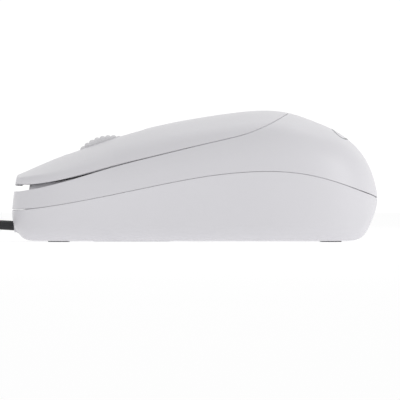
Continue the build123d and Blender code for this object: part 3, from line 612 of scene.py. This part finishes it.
# %% lip, collar and mark
LIP_INSET, LIP_NOSE_INSET, LIP_THICK, LIP_LEAN, LIP_RISE, LIP_END_X = 2.1, 4.0, 0.9, 0.5, 0.1, -12.0
COLLAR_HALF, COLLAR_Z, COLLAR_FACE_X, COLLAR_LEAN, COLLAR_ROLL = 4.0, (2.7, 9.15), -51.5, -0.085, 0.15
MARK_X, MARK_HALF, MARK_LINE = 41.7, (3.0, 12.0), 0.8


def lip():
    """Rows of points up the lip's outside, over its top and down its inside."""
    right = upper.level_line(cover_edge, NOSE_X, LIP_END_X, 1)
    right[0, 1] = 0
    line = spaced(np.vstack([right[::-1], right[1:] * [1, -1]]), 0.5, closed=False)
    p, n = upper.place(line), unit(upper.normal(line) * [1, 1, 0])
    inset = LIP_INSET + (LIP_NOSE_INSET - LIP_INSET) * np.clip((-48.8 - p[:, 0]) / 2.6, 0, 1)[:, None]
    rows = []
    for share in (0.0, 0.5, 1.0):
        row = p - n * (inset + LIP_LEAN * share)
        x = row[:, 0]
        row[:, 2] = (case_edge(x) - 0.9) * (1 - share) + (cover_edge(x) + LIP_RISE) * share
        rows.append(row)
    return rows + [row - n * LIP_THICK for row in rows[::-1]]


def sheet_of(rows):
    """Quads between rows of equally many points."""
    n = len(rows[0])
    return [(r * n + k, (r + 1) * n + k, (r + 1) * n + k + 1, r * n + k + 1)
            for r in range(len(rows) - 1) for k in range(n - 1)]


rows = lip()
inner_lip = make_mesh("inner_lip", np.vstack(rows), sheet_of(rows), None)
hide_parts("upper_case")

face = Panel((COLLAR_FACE_X, 0, 0), (COLLAR_LEAN, 0, 1), (0, 1, 0))
collar_middle, collar_half = (COLLAR_Z[0] + COLLAR_Z[1]) / 2, (COLLAR_Z[1] - COLLAR_Z[0]) / 2
loops = [spaced(rounded_box((collar_middle, 0), (collar_half, COLLAR_HALF), 0.6), 0.4),
         circle((LEAD[0][2], 0), CABLE_RADIUS / MM + 0.03, 36)]
collar = make_mesh("collar", *skin(face, loops, COLLAR_ROLL, 3.0, map_grid(loops[0])))
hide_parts("bottom_case")

centre = (upper.t_at(MARK_X), 0.0)
loops = [(circle((0, 0), 1.0, 60) * [MARK_HALF[0] - trim, MARK_HALF[1] - trim]) + centre
         for trim in (0, MARK_LINE)]
loops = [spaced(loop, 0.4) for loop in loops]
make_mesh("palm_mark", *skin(upper, loops, 0.02, 0.06, map_grid(loops[0]), lift=0.02))

# %% [markdown]
# ## The tyre
# Forty-four ribs round a band with slightly fallen shoulders. The ribs are rounded in the same way as
# real ones that come out of a mould.

# %% tyre
WHEEL_X, WHEEL_Z, WHEEL_HALF, TYRE_RADIUS, TYRE_BORE = -24.1, 18.7, 3.5, 11.98, 9.9
RIBS, RIB_DEPTH, RIB_POINTS, SHOULDER_ROLL = 44, 0.5, 12, 0.7


def tyre():
    """The band as rows across its width; each row goes all the way round over the ribs."""
    turn = np.linspace(0, 2 * math.pi, RIBS * RIB_POINTS, endpoint=False)
    rib = np.abs(np.sin(turn * RIBS / 2)) ** 0.6
    rows = [(TYRE_BORE, -WHEEL_HALF, 0.0)]
    for k in np.linspace(0, 90, 5):
        drop = SHOULDER_ROLL * (1 - math.sin(math.radians(k)))
        rows.append((TYRE_RADIUS - drop, -WHEEL_HALF + SHOULDER_ROLL * (1 - math.cos(math.radians(k))), 1.0))
    rows += [(radius, -y, ribbed) for radius, y, ribbed in rows[::-1]] + [rows[0]]
    points = []
    for radius, y, ribbed in rows:
        r = radius - RIB_DEPTH * ribbed * (1 - rib)
        across = np.full(len(turn), y)
        points.append(np.stack([WHEEL_X + r * np.cos(turn), across, WHEEL_Z + r * np.sin(turn)], 1))
    n = len(turn)
    faces = [(a * n + k, a * n + (k + 1) % n, (a + 1) * n + (k + 1) % n, (a + 1) * n + k)
             for a in range(len(rows) - 1) for k in range(n)]
    return np.vstack(points), faces


band = make_mesh("ribbed_tyre", *tyre(), None, "wheel")
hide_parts("wheel_tyre")

# %% [markdown]
# ## Shader arithmetic
# Building node trees by hand is slow to read. `Value` wraps one socket, so that `a * 0.5 + b` makes the
# Math nodes by itself. `Finish` holds a material and makes any other node through one method.

# %% shader helpers
class Value:
    """A number that flows between nodes."""
    def __init__(self, finish, socket):
        self.finish, self.socket = finish, socket

    def math(self, operation, *others, clamp=False):
        node = self.finish.tree.nodes.new("ShaderNodeMath")
        node.operation = operation
        node.use_clamp = clamp
        for socket, value in zip(node.inputs, (self, *others)):
            self.finish.feed(socket, value)
        return Value(self.finish, node.outputs[0])

    def __add__(self, other):
        return self.math("ADD", other)

    def __radd__(self, other):
        return self.math("ADD", other)

    def __sub__(self, other):
        return self.math("SUBTRACT", other)

    def __rsub__(self, other):
        return self.math("MULTIPLY", -1.0).math("ADD", other)

    def __mul__(self, other):
        return self.math("MULTIPLY", other)

    def __rmul__(self, other):
        return self.math("MULTIPLY", other)

    def __truediv__(self, other):
        return self.math("DIVIDE", other)

    def __rtruediv__(self, other):
        return self.math("POWER", -1.0).math("MULTIPLY", other)

    def ramp(self, low, high):
        """0 below low, 1 above high, and smooth between."""
        found = self.finish.node("ShaderNodeMapRange", {"interpolation_type": "SMOOTHSTEP"},
                                 {"Value": self, "From Min": low, "From Max": high})
        return Value(self.finish, found)


class Finish:
    """A material made of nodes."""
    def __init__(self, name):
        self.material = bpy.data.materials.new(name)
        self.material.use_nodes = True
        self.tree = self.material.node_tree
        self.shader = self.tree.nodes["Principled BSDF"]
        self.at = self.node("ShaderNodeTexCoord", output="Object")

    def feed(self, socket, value):
        value = value.socket if isinstance(value, Value) else value
        if isinstance(value, bpy.types.NodeSocket):
            self.tree.links.new(value, socket)
        else:
            socket.default_value = value

    def node(self, kind, settings=(), values=(), output=0):
        made = self.tree.nodes.new(kind)
        for key, value in dict(settings).items():
            setattr(made, key, value)
        for key, value in dict(values).items():
            self.feed(made.inputs[key], value)
        return made.outputs[output]

    def noise(self, scale, detail=3.0, at=None):
        """Smooth noise from 0 to 1; scale is how many spots fit in a metre."""
        values = {"Vector": at or self.at, "Scale": scale, "Detail": detail}
        return Value(self, self.node("ShaderNodeTexNoise", (), values))

    def stretched(self, x, y, z):
        return self.node("ShaderNodeVectorMath", {"operation": "MULTIPLY"}, {0: self.at, 1: (x, y, z)})

    def blend(self, share, first, second):
        values = {0: share, 6: first, 7: second}
        return self.node("ShaderNodeMix", {"data_type": "RGBA"}, values, 2)

    def wear(self, radius):
        """How much of an edge a spot is, from 0 to 1: where a rounded copy of the normal turns away."""
        soft = self.node("ShaderNodeBevel", {"samples": 4}, {"Radius": radius})
        hard = self.node("ShaderNodeNewGeometry", output="Normal")
        likeness = self.node("ShaderNodeVectorMath", {"operation": "DOT_PRODUCT"}, {0: soft, 1: hard}, "Value")
        return (1.0 - Value(self, likeness)).ramp(0.01, 0.25), soft

    def bump(self, height, depth, normal=None):
        values = {"Height": height, "Distance": depth, "Strength": 1.0}
        if normal is not None:
            values["Normal"] = normal
        return self.node("ShaderNodeBump", (), values)

    def set(self, **values):
        for key, value in values.items():
            self.feed(self.shader.inputs[key.replace("_", " ")], value)
        return self


def tint(colour, factor):
    return (*[min(1.0, c * factor) for c in colour[:3]], 1.0)


# %% [markdown]
# ## Finishes
# Every finish has the same backbone: a slow drift of colour, a fine grain that shifts both colour and
# roughness, a shallow bump, and edges that are a little lighter and smoother from handling. What differs
# is how big each of those is, and what sort of material lies under them.

# %% finishes
FINISHES = {
    "shell": dict(colour=(0.69, 0.682, 0.712), drift=0.012, grain=0.02, scale=3600, rough=(0.30, 0.40),
                  depth=0.010, edge=1.03, edge_radius=0.25),
    "wheel_white": dict(colour=(0.76, 0.77, 0.78), drift=0.02, grain=0.03, scale=3000, rough=(0.38, 0.5),
                        depth=0.01, edge=1.04, edge_radius=0.2),
    "wheel_rubber": dict(colour=(0.80, 0.795, 0.815), drift=0.03, grain=0.05, scale=4200,
                         rough=(0.55, 0.75), depth=0.02, edge=1.05, edge_radius=0.15),
    "glide": dict(colour=(0.10, 0.10, 0.11), drift=0.10, grain=0.12, scale=2600, rough=(0.18, 0.36),
                  depth=0.006, edge=1.7, edge_radius=0.3, streak=(60, 4, 60)),
    "steel": dict(colour=(0.60, 0.60, 0.61), drift=0.05, grain=0.06, scale=5200, rough=(0.20, 0.38),
                  depth=0.004, edge=1.2, edge_radius=0.12, metal=1.0, streak=(8, 1, 1)),
    "label": dict(colour=(0.66, 0.67, 0.69), drift=0.03, grain=0.04, scale=5200, rough=(0.30, 0.45),
                  depth=0.004, edge=1.1, edge_radius=0.1),
    "board": dict(colour=(0.045, 0.20, 0.09), drift=0.10, grain=0.10, scale=4200, rough=(0.20, 0.34),
                  depth=0.006, edge=1.5, edge_radius=0.12),
    "black_plastic": dict(colour=(0.030, 0.030, 0.034), drift=0.10, grain=0.15, scale=4200,
                          rough=(0.34, 0.52), depth=0.010, edge=1.8, edge_radius=0.15),
    "button_white": dict(colour=(0.76, 0.75, 0.70), drift=0.03, grain=0.03, scale=4200, rough=(0.26, 0.4),
                         depth=0.006, edge=1.05, edge_radius=0.12),
    "tinned": dict(colour=(0.66, 0.66, 0.64), drift=0.06, grain=0.08, scale=6200, rough=(0.24, 0.44),
                   depth=0.006, edge=1.15, edge_radius=0.08, metal=1.0),
    "chip": dict(colour=(0.035, 0.035, 0.038), drift=0.10, grain=0.16, scale=7200, rough=(0.5, 0.68),
                 depth=0.008, edge=1.6, edge_radius=0.1),
    "clear": dict(colour=(0.92, 0.95, 0.97), drift=0.01, grain=0.01, scale=2600, rough=(0.03, 0.09),
                  depth=0.002, edge=1.0, edge_radius=0.1, clear=0.92),
    "lamp": dict(colour=(0.80, 0.07, 0.04), drift=0.03, grain=0.03, scale=2600, rough=(0.05, 0.12),
                 depth=0.002, edge=1.1, edge_radius=0.1, clear=0.55),
    "can": dict(colour=(0.66, 0.66, 0.68), drift=0.05, grain=0.06, scale=5200, rough=(0.22, 0.36),
                depth=0.004, edge=1.2, edge_radius=0.2, metal=1.0),
    "connector": dict(colour=(0.80, 0.77, 0.68), drift=0.03, grain=0.03, scale=4200, rough=(0.32, 0.46),
                      depth=0.006, edge=1.05, edge_radius=0.12),
    "wire": dict(colour=(0.70, 0.70, 0.68), drift=0.03, grain=0.03, scale=4200, rough=(0.35, 0.5),
                 depth=0.004, edge=1.0, edge_radius=0.05),
    "gold": dict(colour=(0.80, 0.60, 0.24), drift=0.05, grain=0.06, scale=6200, rough=(0.16, 0.3),
                 depth=0.003, edge=1.1, edge_radius=0.08, metal=1.0, streak=(1, 8, 8)),
    "cable": dict(colour=(0.013, 0.013, 0.016), drift=0.08, grain=0.14, scale=5200, rough=(0.44, 0.60),
                  depth=0.010, edge=1.5, edge_radius=0.15),
    "tie": dict(colour=(0.030, 0.030, 0.034), drift=0.10, grain=0.20, scale=3200, rough=(0.65, 0.85),
                depth=0.05, edge=1.6, edge_radius=0.15, weave=1400),
    "mark": dict(colour=(0.20, 0.205, 0.215), drift=0.04, grain=0.06, scale=6200, rough=(0.34, 0.46),
                 depth=0.003, edge=1.0, edge_radius=0.05),
}


def finish(name, colour, drift, grain, scale, rough, depth, edge, edge_radius, metal=0.0, clear=0.0, streak=None,
           weave=None):
    """One material from a row of the table above."""
    made = Finish(name)
    slow = made.noise(90, 2.0)
    fine = made.noise(scale, 3.0, made.stretched(*streak) if streak else None)
    worn, soft = made.wear(edge_radius * MM)
    handled = worn * made.noise(450, 3.0).ramp(0.35, 0.7)
    paint = made.blend(slow, tint(colour, 1 - drift), tint(colour, 1 + drift))
    paint = made.blend(fine * grain * 4, paint, tint(colour, 1 - 2 * grain))
    paint = made.blend(handled, paint, tint(colour, edge))
    low, high = rough
    gloss = fine * (high - low) * 0.6 + slow * (high - low) * 0.4 + low - handled * 0.08
    height = fine
    if weave:
        over = made.node("ShaderNodeTexWave", {"bands_direction": "X"}, {"Vector": made.at, "Scale": weave})
        under = made.node("ShaderNodeTexWave", {"bands_direction": "Y"}, {"Vector": made.at, "Scale": weave})
        height = Value(made, over) * Value(made, under) + fine * 0.3
    made.set(Base_Color=paint, Roughness=gloss, Normal=made.bump(height, depth * MM, soft))
    made.set(Metallic=metal, Transmission_Weight=clear)
    return made


materials = {name: finish(name, **look) for name, look in FINISHES.items()}
print("finishes:", len(materials))

# %% [markdown]
# Three finishes say more than that. The four wires in the cable each have their own colour, picked by
# where they lie across the mouse. The label has a thin grey border round an empty field. And the board
# shows faint copper tracks under its green mask.

# %% wires, label and board
WIRE_COLOURS = [(0.55, 0.03, 0.02, 1), (0.80, 0.80, 0.78, 1), (0.03, 0.25, 0.07, 1), (0.02, 0.02, 0.02, 1)]
WIRE_SPLITS = [-2.0 * MM, 0.0, 2.0 * MM]
LABEL_CENTRE, LABEL_HALF, LABEL_MARGIN = (-18.0, 0.0), (11.0, 13.0), 1.2
TRACK_PITCH = 2.1


def coordinates(made):
    split = made.tree.nodes.new("ShaderNodeSeparateXYZ")
    made.feed(split.inputs[0], made.at)
    return [Value(made, socket) for socket in split.outputs]


def paint_of(made):
    return made.shader.inputs["Base Color"].links[0].from_socket


wire = materials["wire"]
x, y, z = coordinates(wire)
colour = WIRE_COLOURS[0]
for place, following in zip(WIRE_SPLITS, WIRE_COLOURS[1:]):
    colour = wire.blend(y.math("GREATER_THAN", place), colour, following)
grain = wire.noise(4200) * 0.2
wire.set(Base_Color=wire.blend(grain, colour, (0.3, 0.3, 0.3, 1)))

label = materials["label"]
x, y, z = coordinates(label)
near_x = LABEL_HALF[0] * MM - (x - LABEL_CENTRE[0] * MM).math("ABSOLUTE")
near_y = LABEL_HALF[1] * MM - (y - LABEL_CENTRE[1] * MM).math("ABSOLUTE")
rim = near_x.math("MINIMUM", near_y)
line = rim.math("SUBTRACT", LABEL_MARGIN * MM).math("ABSOLUTE").math("LESS_THAN", 0.15 * MM)
label.set(Base_Color=label.blend(line, paint_of(label), (0.25, 0.25, 0.27, 1)))

board = materials["board"]
x, y, z = coordinates(board)
sway = board.noise(160, 1.0) * 4 * MM
track = ((y + sway) * (2 * math.pi / (TRACK_PITCH * MM))).math("SINE").ramp(0.6, 0.8)
board.set(Base_Color=board.blend(track * 0.5, paint_of(board), (0.07, 0.33, 0.13, 1)))

# %% [markdown]
# ## Dressing the pieces
# The pieces of the engineering model keep their shape and swap their plain colour for a finish. The
# pieces made above take theirs by name.

# %% dress
SLOT_OF = {name: slot for slot, names in {
    "wheel_white": ["wheel_hub"],
    "glide": ["front_foot", "rear_foot"],
    "steel": ["case_screw", "plug_shell"],
    "label": ["rating_label"],
    "board": ["circuit_board"],
    "black_plastic": ["left_switch", "right_switch", "wheel_click_switch", "wheel_yoke", "wheel_bracket",
                      "led_holder", "wheel_light_reader", "plug_tongue"],
    "button_white": ["left_plunger", "right_plunger", "wheel_click_button"],
    "tinned": ["switch_pins", "sensor_legs", "controller_legs", "crystal"],
    "chip": ["sensor_chip", "controller_chip", "resistors"],
    "clear": ["sensor_lens", "wheel_light_source"],
    "lamp": ["sensor_led"],
    "can": ["capacitors"],
    "connector": ["cable_socket", "cable_connector"],
    "wire": ["cable_wires"],
    "gold": ["plug_contacts"],
    "cable": ["strain_relief", "cable_inner", "plug_body"],
    "tie": ["cable_tie"],
}.items() for name in names}
MADE_SLOTS = {"bottom_shell": "shell", "upper_shell": "shell", "left_half": "shell", "right_half": "shell",
              "inner_lip": "shell", "collar": "shell", "palm_mark": "mark", "ribbed_tyre": "wheel_rubber",
              "cable": "cable"}


def dress(piece, name):
    piece.data.materials.clear()
    piece.data.materials.append(materials[name].material)


for name, slot in SLOT_OF.items():
    dress(nodes[name], slot)
for name, slot in MADE_SLOTS.items():
    piece = bpy.data.objects[name]
    dress(piece, slot)
print("dressed:", len(SLOT_OF) + len(MADE_SLOTS))

# %% [markdown]
# ## Floor and light
# A pale seamless floor that glows a little, one soft light above and one beside the palm, and a bright
# even surround, as in a catalogue picture. The surround looks brighter to the camera, and in glossy
# reflections, than the light it casts: the Light Path node tells those rays apart, so the background
# can be white while the shell keeps its shading.

# %% floor and light
SURROUND_LIGHT, SURROUND_SEEN, FLOOR_GLOW = 0.70, 1.06, 0.62
FLOOR_HALF = 6.0


def make_floor():
    mesh = bpy.data.meshes.new("floor")
    side = FLOOR_HALF
    corners = [(-side, -side, 0), (side, -side, 0), (side, side, 0), (-side, side, 0)]
    mesh.from_pydata(corners, [], [(0, 1, 2, 3)])
    made = bpy.data.objects.new("floor", mesh)
    bpy.context.scene.collection.objects.link(made)
    look = Finish("floor")
    shade = look.noise(3, 2.0)
    look.set(Base_Color=look.blend(shade, (0.50, 0.50, 0.50, 1), (0.53, 0.53, 0.53, 1)), Roughness=0.9)
    look.set(Specular_IOR_Level=0.0, Emission_Color=(1.0, 1.0, 1.0, 1.0), Emission_Strength=FLOOR_GLOW)
    mesh.materials.append(look.material)
    return made


def make_light(name, place, size, power, aim=(0.0, 0.0, 0.015)):
    light = bpy.data.lights.new(name, "AREA")
    light.shape, light.size, light.energy = "SQUARE", size, power
    made = bpy.data.objects.new(name, light)
    made.location = place
    direction = np.array(aim) - np.array(place)
    made.rotation_euler = Vector(direction).to_track_quat("-Z", "Y").to_euler()
    bpy.context.scene.collection.objects.link(made)
    return made


make_floor()
make_light("above", (0.1, 0.5, 0.9), 0.7, 1.0)
make_light("palm side", (0.95, -0.35, 0.35), 0.7, 2.3)
world = bpy.data.worlds.new("studio")
world.use_nodes = True
background = world.node_tree.nodes["Background"]
background.inputs["Color"].default_value = (1.0, 1.0, 1.0, 1.0)
light_path = world.node_tree.nodes.new("ShaderNodeLightPath")
brightness = world.node_tree.nodes.new("ShaderNodeMapRange")
brightness.inputs["To Min"].default_value = SURROUND_LIGHT
brightness.inputs["To Max"].default_value = SURROUND_SEEN
seen = world.node_tree.nodes.new("ShaderNodeMath")
seen.operation = "MAXIMUM"
world.node_tree.links.new(light_path.outputs["Is Camera Ray"], seen.inputs[0])
world.node_tree.links.new(light_path.outputs["Is Glossy Ray"], seen.inputs[1])
world.node_tree.links.new(seen.outputs[0], brightness.inputs["Value"])
world.node_tree.links.new(brightness.outputs["Result"], background.inputs["Strength"])
bpy.context.scene.world = world
bpy.context.scene.view_settings.view_transform = "Standard"
